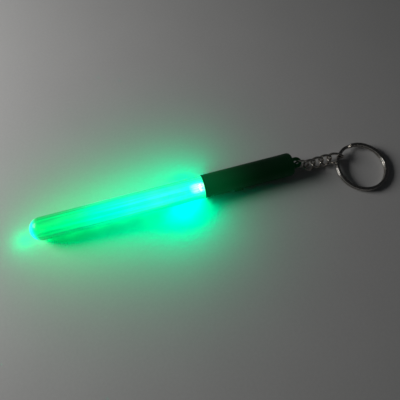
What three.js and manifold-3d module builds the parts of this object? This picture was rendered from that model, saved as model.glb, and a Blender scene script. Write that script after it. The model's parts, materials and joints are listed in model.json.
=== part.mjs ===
// A key-chain light stick: a clear domed tube lit from one end by an LED, a black handle with a
// push button, three button cells behind a screw cap, and a curb chain with a split key ring.
// Millimetres, +Z up. The stick lies on the plane z = 0 with its tip towards -X and its chain
// towards +X. The origin is on that plane, under the middle of the object's bounding box.
import * as THREE from "three";
import { mergeVertices } from "three/addons/utils/BufferGeometryUtils.js";
import Module from "manifold-3d";

const wasm = await Module();
wasm.setup();

const degree = Math.PI / 180;
const fullTurn = 2 * Math.PI;
const roundSegments = 40;
const smallRoundSegments = 24;
const arcDivisions = 4;
const turnSteps = 16; // steps along each turn of a coil or thread
const fineWireSegments = 3; // per quarter turn of a thin wire's section
const overshoot = 1; // how far a cutting tool runs past the face it opens
const pressGap = 0.05; // between pieces that are pressed or stacked together
const slideGap = 0.15; // between pieces that move past each other

// Along the stick, x = 0 is the front rim of the handle. Inside the handle, z points at the button.
const handleRadius = 5.35;
const handleLength = 42.8;
const handleRoll = 115 * degree; // turns the button to the near side, a little below level
const boreRadius = 4.25;
const collarLength = 1.1;
const capHeadLength = 2.5;
const barrelFront = collarLength + pressGap;
const capFront = handleLength - capHeadLength;
const rimChamfer = 0.2;

// Light tube
const tubeRadius = 5.22;
const tubeLength = 77.9; // from the rim of the handle to the tip of the dome
const tubeWall = 1.1;
const ribCount = 20;
const ribHeight = 0.22;
const spigotLength = 6;
const spigotRadius = boreRadius - pressGap;
const spigotWall = 0.9;

// LED
const ledRadius = 2.5;
const ledTip = -1.8; // the lens stands out of the handle, into the tube
const ledFlangeFront = 5.75;
const ledFlangeRadius = 2.9;
const ledFlangeLength = 1;
const ledHolderFront = 1.5;
const leadSpacing = 2.54;
const leadRadius = 0.25;
const anodePad = 2.6; // from the board's edge to the end of the lead
const cathodePad = 1.8;

// Circuit board and what is soldered to it
const boardFront = 8.6;
const boardLength = 14.2;
const boardWidth = 7.6;
const boardTop = -0.6;
const boardThickness = 0.8;
const boardBottom = boardTop - boardThickness;
const partsBottom = boardTop + pressGap;
const railWidth = 0.7; // how far the handle's two rails reach under the board
const railHeight = 0.8;
const resistorCentre = [12.5, 2.4];
const resistorSize = [1.6, 0.8, 0.5];
const chipX = 20.5;
const chipRadius = 1.4;
const chipHeight = 0.8;

// Push button and the tactile switch under it
const buttonX = 15.8;
const buttonRadius = 2;
const buttonTop = 6.2;
const buttonFlangeRadius = 2.4;
const buttonFlangeTop = 3.3;
const buttonFlangeThickness = 0.55;
const switchLength = 4.4;
const switchWidth = 3.6;
const switchHousingTop = 0.9;
const switchCoverTop = 1.15;
const switchWellRadius = 1.45;
const switchWellFloor = -0.15;
const stemFlangeThickness = 0.25;
const stemRadius = 1;
const stemTop = 1.9;

// Cells, and the contacts at both ends of the stack
const cellCount = 3;
const cellRadius = 3.95;
const cellLength = 3.6;
const cellPitch = cellLength + pressGap;
const stackFront = 24.9;
const stackEnd = stackFront + cellCount * cellPitch - pressGap;
const stopThickness = 1.05;
const stopFront = 23.2;
const sheet = 0.25; // thickness of the stamped contacts
const contactRadius = 3;
const contactPipRadius = 0.6;
const contactPipFoot = 1.1;
const contactLegX = 22.05;
const contactLegHalfWidth = 0.8;
const sleeveWall = 0.15;

// Contact strip, in its channel opposite the button
const stripWidth = 2;
const stripOutside = -4.6;
const stripThickness = 0.2;
const stripFootX = 20.9;
const stripFingerX = 36.05;
const stripFingerTip = -3.2;
const channelWidth = 2.5;
const channelBottom = -4.75;
const channelLeadIn = 0.4; // the channel starts this far ahead of the strip's foot

// Screw cap
const plateFront = 36.35; // the spring plate's flange, on the cap's front edge
const plateRadius = 3.9;
const capSpigotFront = plateFront + sheet + pressGap;
const capSpigotRadius = boreRadius - slideGap;
const cupRadius = 2.6;
const cupEnd = 39.4;
const springWireRadius = 0.2;
const springNarrowRadius = 1.2;
const springTurns = 3.5;
const shoulderRadius = 1.4;
const threadPitch = 1.6;
const threadStart = 37.7;
const threadTurns = 1.2;
const threadRidgeRadius = 0.45;
const threadGrooveRadius = 0.62;

// Lug on the cap
const lugWidth = 5;
const lugThickness = 1.8;
const lugEnd = 47.7;
const lugHoleX = 45.3;
const lugHoleRadius = 1.15;
const lugRoot = 1; // how deep the lug starts inside the cap

// Jump ring, curb chain and key ring
const jumpWireRadius = 0.45;
const jumpRingRadius = 3.1; // to the middle of the wire
const linkWireRadius = 0.6;
const linkPitch = 4.1; // from the wire a link hangs on to the wire at its end
const lastLinkPitch = 6; // the last link is longer, to make room for the key ring
const linkHalfWidth = 2.2; // to the middle of the wire
const linkTwist = [-15 * degree, 75 * degree]; // a link starts nearly flat and ends nearly upright
const lastLinkTwist = [-10 * degree, 110 * degree]; // its end stands upright round the key ring
const linkHook = 2 * linkWireRadius + 0.2; // from the wire it hangs on to its own start wire
const keyRingOuterRadius = 12.5;
const keyWireReach = 1.6; // room for the key ring's wire to turn over inside the last link
const keyWireWidth = 1.5; // across the ring
const keyWireHeight = 1.05; // along the ring's axis
const keyCoilGap = 0.06;
const keyRingRadius = keyRingOuterRadius - keyWireWidth / 2;
const lastLinkReach = lastLinkPitch - linkWireRadius - keyWireReach; // where the key ring hangs in it

// ---- Materials

function material(color, roughness, metalness = 0, more = {}) {
  return new THREE.MeshStandardMaterial({ color, roughness, metalness, ...more });
}

const clearGreen = () => material(0x5dffb0, 0.12, 0, { transparent: true, opacity: 0.45 });
const blackPlastic = () => material(0x0b0d0c, 0.42);
const whitePlastic = () => material(0xe4e4de, 0.5);
const nickel = () => material(0xb9b5ac, 0.24, 1);
const springSteel = () => material(0xa9a9a6, 0.35, 1);
const brass = () => material(0xc8a45a, 0.35, 1);
const cellSteel = () => material(0xc9c9c4, 0.28, 1);
const solderMask = () => material(0x1f6b3a, 0.45);

// ---- Shape helpers

// A solid of revolution about the X axis. The outline is a path in (radius, x).
function turned(outline, segments = roundSegments) {
  const profile = outline.getPoints(arcDivisions);
  return new THREE.LatheGeometry(profile, segments).rotateZ(-Math.PI / 2);
}

// A solid of revolution about the Z axis. The outline is a path in (radius, z).
function turnedUpright(outline, segments = roundSegments) {
  const profile = outline.getPoints(arcDivisions);
  return new THREE.LatheGeometry(profile, segments).rotateX(Math.PI / 2);
}

// A solid of revolution about the push button's axis.
function turnedAtButton(outline) {
  return turnedUpright(outline, smallRoundSegments).translate(buttonX, 0, 0);
}

function pathThrough(corners) {
  return new THREE.Path(corners.map(([radius, along]) => new THREE.Vector2(radius, along)));
}

function discOutline(radius, start, end) {
  return pathThrough([[0, start], [radius, start], [radius, end], [0, end]]);
}

// A ring's closed outline, with its two outer edges chamfered.
function ringOutline(inner, outer, start, end, chamfer = 0) {
  const corners = [[inner, start], [outer - chamfer, start]];
  if (chamfer > 0) corners.push([outer, start + chamfer], [outer, end - chamfer]);
  corners.push([outer - chamfer, end], [inner, end], [inner, start]);
  return pathThrough(corners);
}

function block(from, to) {
  const size = to.map((high, i) => high - from[i]);
  const middle = to.map((high, i) => (high + from[i]) / 2);
  return new THREE.BoxGeometry(...size).translate(...middle);
}

// An outline in (x, z), given a width across y.
function slab(outline, width) {
  return new THREE.ExtrudeGeometry(outline, { depth: width, bevelEnabled: false })
    .rotateX(Math.PI / 2)
    .translate(0, width / 2, 0);
}

function circle(radius) {
  return new THREE.Shape().absarc(0, 0, radius, 0, fullTurn);
}

function roundedRectangle(width, height, corner) {
  const x = width / 2 - corner;
  const y = height / 2 - corner;
  return new THREE.Shape()
    .absarc(x, y, corner, 0, Math.PI / 2)
    .absarc(-x, y, corner, Math.PI / 2, Math.PI)
    .absarc(-x, -y, corner, Math.PI, 1.5 * Math.PI)
    .absarc(x, -y, corner, 1.5 * Math.PI, fullTurn);
}

// A section swept along an open path, closed at both ends.
function swept(section, path, steps, curveSegments = 4) {
  return new THREE.ExtrudeGeometry(section, { steps, curveSegments, extrudePath: path });
}

function toSolid(geometry) {
  const bare = geometry.clone();
  bare.deleteAttribute("normal");
  bare.deleteAttribute("uv");
  const merged = mergeVertices(bare);
  return new wasm.Manifold(
    new wasm.Mesh({
      numProp: 3,
      vertProperties: merged.attributes.position.array,
      triVerts: Uint32Array.from(merged.index.array),
    }),
  );
}

function toGeometry(solid) {
  const mesh = solid.getMesh();
  return new THREE.BufferGeometry()
    .setAttribute("position", new THREE.BufferAttribute(mesh.vertProperties, 3))
    .setIndex(new THREE.BufferAttribute(mesh.triVerts, 1));
}

function joined(...geometries) {
  return toGeometry(geometries.map(toSolid).reduce((whole, piece) => whole.add(piece)));
}

function cut(geometry, ...tools) {
  return toGeometry(tools.map(toSolid).reduce((left, tool) => left.subtract(tool), toSolid(geometry)));
}

function addMesh(group, name, geometry, finish) {
  geometry.computeVertexNormals();
  const mesh = new THREE.Mesh(geometry, finish);
  mesh.name = name;
  group.add(mesh);
  return mesh;
}

// ---- Paths

// A helix about the X axis, right-handed. It may taper from one radius to another.
class Helix extends THREE.Curve {
  constructor({ startX, endX, startRadius, endRadius = startRadius, turns, phase = 0 }) {
    super();
    Object.assign(this, { startX, endX, startRadius, endRadius, turns, phase });
  }
  getPoint(t, target = new THREE.Vector3()) {
    const angle = this.phase + t * this.turns * fullTurn;
    const radius = THREE.MathUtils.lerp(this.startRadius, this.endRadius, t);
    const x = THREE.MathUtils.lerp(this.startX, this.endX, t);
    return target.set(x, radius * Math.cos(angle), radius * Math.sin(angle));
  }
}

// A ring in the XZ plane that passes through the origin, with a butt joint near its top.
class JumpRingPath extends THREE.Curve {
  getPoint(t, target = new THREE.Vector3()) {
    const jointAngle = 100 * degree;
    const jointHalfGap = 0.1 / jumpRingRadius;
    const angle = jointAngle + THREE.MathUtils.lerp(jointHalfGap, fullTurn - jointHalfGap, t);
    const x = jumpRingRadius * (1 + Math.cos(angle));
    return target.set(x, 0, jumpRingRadius * Math.sin(angle));
  }
}

// A curb link, hooked round an upright wire at the origin and twisted from its start to its end.
class LinkPath extends THREE.Curve {
  constructor(pitch, [startTwist, endTwist]) {
    super();
    const halfLength = (pitch + linkHook) / 2; // to the middle of the wire
    Object.assign(this, { halfLength, startTwist, endTwist });
  }
  getPoint(t, target = new THREE.Vector3()) {
    const squareness = 0.75; // below 1, the sides run straighter than an ellipse's
    const bulge = (value) => Math.sign(value) * Math.abs(value) ** squareness;
    const along = bulge(Math.cos(t * fullTurn));
    const across = linkHalfWidth * bulge(Math.sin(t * fullTurn));
    const twist = THREE.MathUtils.lerp(this.startTwist, this.endTwist, (1 + along) / 2);
    return target.set(
      this.halfLength * (1 + along) - linkHook,
      across * Math.cos(twist),
      across * Math.sin(twist),
    );
  }
}

// Two turns of wire about the Z axis. The wire climbs from the lower coil to the upper one
// inside the short crossing, where both of its ends stop.
class SplitRingPath extends THREE.Curve {
  getPoint(t, target = new THREE.Vector3()) {
    const crossing = 145 * degree;
    const halfCrossing = 13 * degree;
    const climb = keyWireHeight + keyCoilGap;
    const travelled = THREE.MathUtils.lerp(halfCrossing, 2 * fullTurn - halfCrossing, t);
    const rise = THREE.MathUtils.smoothstep(
      travelled,
      fullTurn - halfCrossing,
      fullTurn + halfCrossing,
    );
    const angle = crossing + travelled;
    return target.set(
      keyRingRadius * Math.cos(angle),
      keyRingRadius * Math.sin(angle),
      climb * (rise - 0.5),
    );
  }
  // The wire's section stays level from the inside of the ring to the outside, without rolling.
  computeFrenetFrames(steps) {
    const frames = { tangents: [], normals: [], binormals: [] };
    for (let i = 0; i <= steps; i++) {
      const tangent = this.getTangentAt(i / steps);
      const outward = this.getPointAt(i / steps).setZ(0).normalize();
      frames.tangents.push(tangent);
      frames.normals.push(outward.clone().cross(tangent));
      frames.binormals.push(outward);
    }
    return frames;
  }
}

// ---- Front: light tube, collar and LED

function lightTube() {
  const domeCentre = tubeRadius - tubeLength;
  const outside = new THREE.Path()
    .absarc(0, domeCentre, tubeRadius, -Math.PI / 2, 0)
    .lineTo(tubeRadius, 0)
    .lineTo(spigotRadius, 0)
    .lineTo(spigotRadius, spigotLength)
    .lineTo(0, spigotLength);
  const innerRadius = tubeRadius - tubeWall;
  const ribbed = new THREE.Shape();
  for (let i = 0; i <= 2 * ribCount; i++) {
    const radius = i % 2 ? innerRadius - ribHeight : innerRadius;
    const angle = (i * Math.PI) / ribCount;
    const corner = [radius * Math.cos(angle), radius * Math.sin(angle)];
    if (i === 0) ribbed.moveTo(...corner);
    else ribbed.lineTo(...corner);
  }
  const hollow = new THREE.ExtrudeGeometry(ribbed, { depth: -domeCentre, bevelEnabled: false })
    .rotateY(Math.PI / 2)
    .translate(domeCentre, 0, 0);
  const domeRadius = innerRadius - ribHeight;
  const domeHollow = new THREE.Path()
    .absarc(0, domeCentre, domeRadius, -Math.PI / 2, 0)
    .lineTo(domeRadius, domeCentre + overshoot)
    .lineTo(0, domeCentre + overshoot);
  const spigotBore = discOutline(spigotRadius - spigotWall, -overshoot, spigotLength + overshoot);
  return cut(turned(outside), hollow, turned(domeHollow), turned(spigotBore));
}

function frontCollar() {
  return turned(ringOutline(boreRadius, handleRadius, pressGap, collarLength, rimChamfer));
}

function ledBody() {
  const outline = new THREE.Path()
    .absarc(0, ledTip + ledRadius, ledRadius, -Math.PI / 2, 0)
    .lineTo(ledRadius, ledFlangeFront)
    .lineTo(ledFlangeRadius, ledFlangeFront)
    .lineTo(ledFlangeRadius, ledFlangeFront + ledFlangeLength)
    .lineTo(0, ledFlangeFront + ledFlangeLength);
  return turned(outline, smallRoundSegments);
}

function ledHolder() {
  const outer = spigotRadius - spigotWall - pressGap;
  const end = ledFlangeFront - pressGap;
  return turned(ringOutline(ledRadius + pressGap, outer, ledHolderFront, end));
}

// A lead leaves the back of the LED, steps down and lies on the board. The anode is the longer.
function ledLead(side, reach) {
  const start = ledFlangeFront + ledFlangeLength + pressGap;
  const stepHalfLength = 0.5;
  const leadSteps = 10;
  const padHeight = partsBottom + leadRadius;
  const y = (side * leadSpacing) / 2;
  const bend = new THREE.CatmullRomCurve3([
    new THREE.Vector3(start, y, 0),
    new THREE.Vector3(boardFront - stepHalfLength, y, 0),
    new THREE.Vector3(boardFront + stepHalfLength, y, padHeight),
    new THREE.Vector3(boardFront + reach, y, padHeight),
  ]);
  return swept(circle(leadRadius), bend, leadSteps, fineWireSegments);
}

// ---- Handle shell and button

// The thread's centre line, from an x position for a number of turns.
function threadPath(startX, turns, phase) {
  const endX = startX + turns * threadPitch;
  return new Helix({ startX, endX, startRadius: capSpigotRadius, turns, phase });
}

function handleBarrel() {
  const shellEnd = capFront - pressGap;
  const shell = turned(ringOutline(boreRadius, handleRadius, barrelFront, shellEnd, rimChamfer));
  const railInner = boardWidth / 2 - railWidth;
  const railOuter = (boreRadius + handleRadius) / 2; // inside the shell's wall
  const rails = [-1, 1].map((side) => {
    const edges = [side * railInner, side * railOuter].sort((a, b) => a - b);
    return block(
      [boardFront, edges[0], boardBottom - railHeight],
      [boardFront + boardLength, edges[1], boardBottom - pressGap],
    );
  });
  const buttonHole = turnedAtButton(
    discOutline(buttonRadius + slideGap, boreRadius / 2, handleRadius + overshoot),
  );
  const channel = block(
    [stripFootX - channelLeadIn, -channelWidth / 2, channelBottom],
    [handleLength, channelWidth / 2, -boreRadius / 2],
  );
  const leadIn = 0.15; // turns of groove before the ridge and past the mouth
  const grooveTurns = (handleLength - threadStart) / threadPitch;
  const grooveStart = threadStart - leadIn * threadPitch;
  const groovePath = threadPath(grooveStart, grooveTurns, -leadIn * fullTurn);
  const groove = swept(circle(threadGrooveRadius), groovePath, Math.round(grooveTurns * turnSteps));
  return cut(joined(shell, ...rails), buttonHole, channel, groove);
}

// The button's foot rests on the switch, and its flange keeps it inside the handle.
function pushButton() {
  const crown = 0.45;
  const footBottom = stemTop + pressGap;
  const flangeBottom = buttonFlangeTop - buttonFlangeThickness;
  const outline = pathThrough([
    [0, footBottom],
    [stemRadius, footBottom],
    [stemRadius, flangeBottom],
    [buttonFlangeRadius, flangeBottom],
    [buttonFlangeRadius, buttonFlangeTop],
    [buttonRadius, buttonFlangeTop],
    [buttonRadius, buttonTop - crown],
  ]);
  outline.absellipse(0, buttonTop - crown, buttonRadius, crown, 0, Math.PI / 2);
  return turnedAtButton(outline);
}

// ---- Circuit board and switch

function circuitBoard() {
  const halfWidth = boardWidth / 2;
  return block([boardFront, -halfWidth, boardBottom], [boardFront + boardLength, halfWidth, boardTop]);
}

function switchBlock(bottom, top) {
  return block(
    [buttonX - switchLength / 2, -switchWidth / 2, bottom],
    [buttonX + switchLength / 2, switchWidth / 2, top],
  );
}

function switchHousing() {
  const well = discOutline(switchWellRadius, switchWellFloor, switchHousingTop + overshoot);
  return cut(switchBlock(partsBottom, switchHousingTop), turnedAtButton(well));
}

// The snap dome is a thin dish on the floor of the housing's well.
function switchDome() {
  const radius = switchWellRadius - pressGap;
  const bottom = switchWellFloor + pressGap;
  const height = 0.2;
  const skin = 0.1;
  const outline = new THREE.Path()
    .absellipse(0, bottom, radius, height + skin, 0, Math.PI / 2)
    .lineTo(0, bottom + height)
    .absellipse(0, bottom, radius - skin, height, Math.PI / 2, 0, true)
    .lineTo(radius, bottom);
  return turnedAtButton(outline);
}

function switchStem() {
  const flangeTop = switchHousingTop - pressGap;
  const flangeBottom = flangeTop - stemFlangeThickness;
  const flangeRadius = switchWellRadius - slideGap;
  const outline = pathThrough([
    [0, flangeBottom],
    [flangeRadius, flangeBottom],
    [flangeRadius, flangeTop],
    [stemRadius, flangeTop],
    [stemRadius, stemTop],
    [0, stemTop],
  ]);
  return turnedAtButton(outline);
}

function switchCover() {
  const window = discOutline(stemRadius + pressGap, 0, switchCoverTop + overshoot);
  return cut(switchBlock(switchHousingTop + pressGap, switchCoverTop), turnedAtButton(window));
}

function ledResistor() {
  const [length, width, height] = resistorSize;
  const [x, y] = resistorCentre;
  return new THREE.BoxGeometry(length, width, height).translate(x, y, partsBottom + height / 2);
}

// The controller is a bare chip under a drop of resin.
function controllerChip() {
  const outline = new THREE.Path().moveTo(0, partsBottom).lineTo(chipRadius, partsBottom);
  outline.absellipse(0, partsBottom, chipRadius, chipHeight, 0, Math.PI / 2);
  return turnedUpright(outline, smallRoundSegments).translate(chipX, 0, 0);
}

// ---- Cells and contacts

const stopEnd = stopFront + stopThickness;

// A stop disc with a slot for the negative contact's leg.
function batteryStop() {
  const disc = turned(discOutline(boreRadius - pressGap, stopFront, stopEnd));
  const halfWidth = contactLegHalfWidth + slideGap;
  const slot = block(
    [stopFront - overshoot, -halfWidth, partsBottom - slideGap],
    [stopEnd + overshoot, halfWidth, partsBottom + sheet + slideGap],
  );
  return cut(disc, slot);
}

// A disc with a pip against the first cell, and a leg that runs through the stop to the board.
function negativeContact() {
  const front = stopEnd + pressGap;
  const face = turned(
    pathThrough([
      [0, front],
      [contactRadius, front],
      [contactRadius, front + sheet],
      [contactPipFoot, front + sheet],
      [contactPipRadius, stackFront - pressGap],
      [0, stackFront - pressGap],
    ]),
    smallRoundSegments,
  );
  const leg = block(
    [contactLegX, -contactLegHalfWidth, partsBottom],
    [front + sheet / 2, contactLegHalfWidth, partsBottom + sheet],
  );
  return joined(face, leg);
}

function cell(index) {
  const start = stackFront + index * cellPitch;
  const end = start + cellLength;
  const negativeRadius = 3.1;
  const crimp = 0.3;
  const chamfer = 0.15;
  const outline = pathThrough([
    [0, start],
    [negativeRadius, start],
    [negativeRadius, start + crimp],
    [cellRadius - crimp, start + crimp],
    [cellRadius, start + 2 * crimp],
    [cellRadius, end - chamfer],
    [cellRadius - chamfer, end],
    [0, end],
  ]);
  return turned(outline);
}

function batterySleeve() {
  const inner = cellRadius + pressGap;
  return turned(ringOutline(inner, inner + sleeveWall, stackFront + sheet, stackEnd - sheet));
}

// The strip runs in the handle's channel, from a foot under the board to a finger behind the cells.
function positiveStrip() {
  const inside = stripOutside + stripThickness;
  const footTop = boardBottom - pressGap;
  const outline = new THREE.Shape()
    .moveTo(stripFootX, stripOutside)
    .lineTo(stripFingerX + stripThickness, stripOutside)
    .lineTo(stripFingerX + stripThickness, stripFingerTip)
    .lineTo(stripFingerX, stripFingerTip)
    .lineTo(stripFingerX, inside)
    .lineTo(stripFootX + stripThickness, inside)
    .lineTo(stripFootX + stripThickness, footTop)
    .lineTo(stripFootX, footTop);
  return slab(outline, stripWidth);
}

// A cup that holds the spring, with a flange that meets the strip's finger.
function springPlate() {
  const inside = cupRadius - sheet;
  return turned(
    pathThrough([
      [0, cupEnd - sheet],
      [inside, cupEnd - sheet],
      [inside, plateFront],
      [plateRadius, plateFront],
      [plateRadius, plateFront + sheet],
      [cupRadius, plateFront + sheet],
      [cupRadius, cupEnd],
      [0, cupEnd],
    ]),
  );
}

function contactSpring() {
  const wire = springWireRadius;
  const path = new Helix({
    startX: stackEnd + wire + pressGap,
    endX: cupEnd - sheet - wire - pressGap,
    startRadius: springNarrowRadius,
    endRadius: cupRadius - sheet - wire - slideGap,
    turns: springTurns,
  });
  return swept(circle(wire), path, springTurns * turnSteps, fineWireSegments);
}

// ---- Cap, chain and rings

function endCap() {
  const boreEnd = cupEnd + pressGap;
  const cupBore = cupRadius + pressGap;
  const outline = pathThrough([
    [0, boreEnd],
    [cupBore, boreEnd],
    [cupBore, capSpigotFront],
    [capSpigotRadius - rimChamfer, capSpigotFront],
    [capSpigotRadius, capSpigotFront + rimChamfer],
    [capSpigotRadius, capFront],
    [handleRadius, capFront],
  ]);
  const shoulderX = handleLength - shoulderRadius;
  outline.absarc(handleRadius - shoulderRadius, shoulderX, shoulderRadius, 0, Math.PI / 2);
  outline.lineTo(0, handleLength);
  const halfWidth = lugWidth / 2;
  const lugStart = handleLength - lugRoot;
  const lugOutline = new THREE.Shape()
    .absarc(lugEnd - halfWidth, 0, halfWidth, -Math.PI / 2, Math.PI / 2)
    .lineTo(lugStart, halfWidth)
    .lineTo(lugStart, -halfWidth);
  lugOutline.holes.push(new THREE.Path().absarc(lugHoleX, 0, lugHoleRadius, 0, fullTurn, true));
  const lug = new THREE.ExtrudeGeometry(lugOutline, {
    depth: lugThickness,
    bevelEnabled: false,
    curveSegments: 10,
  }).translate(0, 0, -lugThickness / 2);
  const ridge = swept(
    circle(threadRidgeRadius),
    threadPath(threadStart, threadTurns, handleRoll),
    Math.round(threadTurns * turnSteps),
  );
  return joined(turned(outline), lug, ridge);
}

const loopSteps = 36;
const keyRingSteps = 88;
const wireSides = 8;

function jumpRing() {
  return swept(circle(jumpWireRadius), new JumpRingPath(), loopSteps);
}

function chainLink(pitch, twist) {
  return new THREE.TubeGeometry(new LinkPath(pitch, twist), loopSteps, linkWireRadius, wireSides, true);
}

function keyRing() {
  const cornerRadius = 0.3;
  const cornerSteps = 1; // each corner of the wire is a plain chamfer
  const section = roundedRectangle(keyWireHeight, keyWireWidth, cornerRadius);
  const wire = swept(section, new SplitRingPath(), keyRingSteps, cornerSteps);
  return wire.translate(keyRingRadius, 0, 0);
}

// ---- Assembly

const lightStick = new THREE.Group();
const stick = new THREE.Group();
stick.position.z = handleRadius;
lightStick.add(stick);

const handle = new THREE.Group();
handle.rotation.x = handleRoll;
stick.add(handle);

addMesh(handle, "light_tube", lightTube(), clearGreen());
addMesh(handle, "front_collar", frontCollar(), blackPlastic());
addMesh(handle, "handle_barrel", handleBarrel(), blackPlastic());
addMesh(handle, "led_body", ledBody(), clearGreen());
addMesh(handle, "led_holder", ledHolder(), whitePlastic());
addMesh(handle, "led_lead_anode", ledLead(1, anodePad), springSteel());
addMesh(handle, "led_lead_cathode", ledLead(-1, cathodePad), springSteel());
addMesh(handle, "circuit_board", circuitBoard(), solderMask());
addMesh(handle, "led_resistor", ledResistor(), blackPlastic());
addMesh(handle, "controller_chip", controllerChip(), blackPlastic());
addMesh(handle, "switch_housing", switchHousing(), blackPlastic());
addMesh(handle, "switch_dome", switchDome(), springSteel());
addMesh(handle, "switch_stem", switchStem(), blackPlastic());
addMesh(handle, "switch_cover", switchCover(), springSteel());
addMesh(handle, "push_button", pushButton(), blackPlastic());
addMesh(handle, "battery_stop", batteryStop(), whitePlastic());
addMesh(handle, "negative_contact", negativeContact(), brass());
addMesh(handle, "positive_strip", positiveStrip(), brass());
addMesh(handle, "battery_sleeve", batterySleeve(), whitePlastic());
for (let i = 0; i < cellCount; i++) {
  addMesh(handle, `battery_${i + 1}`, cell(i), cellSteel());
}

addMesh(stick, "spring_plate", springPlate(), brass());
addMesh(stick, "contact_spring", contactSpring(), springSteel());
addMesh(stick, "end_cap", endCap(), blackPlastic());

// The chain hangs piece by piece from the lug. Each piece heads sideways (towards +Y) and down,
// in degrees, and the next one swings about the wire at its end.
const hook = new THREE.Vector3(lugHoleX, 0, 0);
function hangPiece(name, geometry, length, sideways, down) {
  const group = new THREE.Group();
  group.position.copy(hook);
  group.rotation.set(0, down * degree, sideways * degree, "ZYX");
  stick.add(group);
  addMesh(group, name, geometry, nickel());
  hook.add(new THREE.Vector3(length, 0, 0).applyEuler(group.rotation));
}

hangPiece("jump_ring", jumpRing(), 2 * jumpRingRadius, -21, 22.5);
hangPiece("chain_link_1", chainLink(linkPitch, linkTwist), linkPitch, 6, 3);
hangPiece("chain_link_2", chainLink(linkPitch, linkTwist), linkPitch, 3, 1);
hangPiece("chain_link_3", chainLink(linkPitch, linkTwist), linkPitch, -1, 0);
hangPiece("chain_link_4", chainLink(lastLinkPitch, lastLinkTwist), lastLinkReach, -5, 0);
hangPiece("key_ring", keyRing(), 0, -38.5, 3.8);

const bounds = new THREE.Box3().setFromObject(lightStick, true);
const centre = bounds.getCenter(new THREE.Vector3());
stick.position.x = -centre.x;
stick.position.y = -centre.y;

export default lightStick;
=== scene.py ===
# Looks for a key-chain light stick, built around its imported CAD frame. Metres, +Z up.
# The stick lies along X with its tip towards -X. Each piece stands for one CAD node and is
# measured from it, in the frame of the part that it belongs to.
import json
import math

import bmesh
import bpy
from mathutils import Matrix, Vector

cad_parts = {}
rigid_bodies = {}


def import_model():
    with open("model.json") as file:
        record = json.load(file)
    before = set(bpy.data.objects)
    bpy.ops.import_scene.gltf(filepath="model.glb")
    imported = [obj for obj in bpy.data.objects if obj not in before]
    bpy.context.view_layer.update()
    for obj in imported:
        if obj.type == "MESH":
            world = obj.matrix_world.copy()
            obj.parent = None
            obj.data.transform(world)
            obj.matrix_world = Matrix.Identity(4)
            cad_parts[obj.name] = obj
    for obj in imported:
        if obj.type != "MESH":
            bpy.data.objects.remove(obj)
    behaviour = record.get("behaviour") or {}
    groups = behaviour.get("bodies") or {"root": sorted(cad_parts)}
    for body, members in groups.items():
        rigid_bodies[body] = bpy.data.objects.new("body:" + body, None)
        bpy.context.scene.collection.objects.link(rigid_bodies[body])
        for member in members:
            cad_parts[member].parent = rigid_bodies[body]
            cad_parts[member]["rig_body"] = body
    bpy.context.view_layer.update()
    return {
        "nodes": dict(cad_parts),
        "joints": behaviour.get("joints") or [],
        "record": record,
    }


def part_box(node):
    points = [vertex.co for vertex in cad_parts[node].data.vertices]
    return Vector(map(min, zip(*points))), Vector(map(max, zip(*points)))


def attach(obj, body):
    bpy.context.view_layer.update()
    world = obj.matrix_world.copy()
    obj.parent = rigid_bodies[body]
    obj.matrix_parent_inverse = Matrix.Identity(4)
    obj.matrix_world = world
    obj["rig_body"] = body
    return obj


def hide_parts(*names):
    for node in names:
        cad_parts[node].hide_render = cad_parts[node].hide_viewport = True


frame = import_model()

MM = 0.001
FULL_TURN = 2 * math.pi
record = frame["record"]
joints = {joint["name"]: joint for joint in frame["joints"]}
mounts = {mount["name"]: mount for mount in record["mounts"]}
slots = {part["node"]: part["material_slot"] for part in record["subparts"]}


# ---- Frames and measures, all taken from the CAD frame

def axes_frame(origin, x, z):
    """A frame at origin whose X and Z axes point along x and z."""
    x = Vector(x).normalized()
    z = Vector(z).normalized()
    rotation = Matrix((x, z.cross(x), z)).transposed().to_4x4()
    return Matrix.Translation(origin) @ rotation


def level_frame(origin, x):
    """A frame with its X axis along x, and its Z axis as near to upright as that allows."""
    x = Vector(x).normalized()
    return axes_frame(origin, x, Vector((0, 0, 1)) - x * x.z)


def measure(node, place):
    """The lowest and highest corners of a CAD node, in a frame of its own."""
    inverse = place.inverted()
    points = [inverse @ vertex.co for vertex in frame["nodes"][node].data.vertices]
    low = Vector([min(point[i] for point in points) for i in range(3)])
    high = Vector([max(point[i] for point in points) for i in range(3)])
    return low, high


def half_width(node):
    """Half of what a CAD node measures across the stick."""
    low, high = measure(node, HANDLE)
    return (high.y - low.y) / 2


def bore_of(node):
    """How near a CAD node's points come to the stick's axis."""
    inverse = HANDLE.inverted()
    points = [inverse @ vertex.co for vertex in frame["nodes"][node].data.vertices]
    return min(math.hypot(point.y, point.z) for point in points)


cap_axis = Vector(joints["cap_turn"]["axis"])
axis_point = Vector(joints["cap_turn"]["pos_m"])
rim = Vector((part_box("front_collar")[0].x, axis_point.y, axis_point.z))
button_up = -Vector(joints["button_press"]["axis"])
STICK = axes_frame(rim, cap_axis, (0, 0, 1))  # x = 0 is the handle's front rim
HANDLE = axes_frame(rim, cap_axis, button_up)  # the same, turned so that z points at the button

HANDLE_RADIUS = measure("end_cap", STICK)[1].z
TUBE_RADIUS = measure("light_tube", STICK)[1].z
TUBE_LENGTH = -measure("light_tube", STICK)[0].x
BARREL_START = measure("handle_barrel", HANDLE)[0].x
BARREL_END = measure("handle_barrel", HANDLE)[1].x
PRESS_GAP = 0.05 * MM  # between pieces that are pressed or stacked together
SLIDE_GAP = 0.15 * MM  # between pieces that move past each other
CAP_FRONT = measure("end_cap", STICK)[0].x
CAP_START = BARREL_END + PRESS_GAP
CAP_END = (STICK.inverted() @ Vector(mounts["cap_end_face"]["pos_m"])).x
HANDLE_BORE = bore_of("front_collar")

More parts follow.
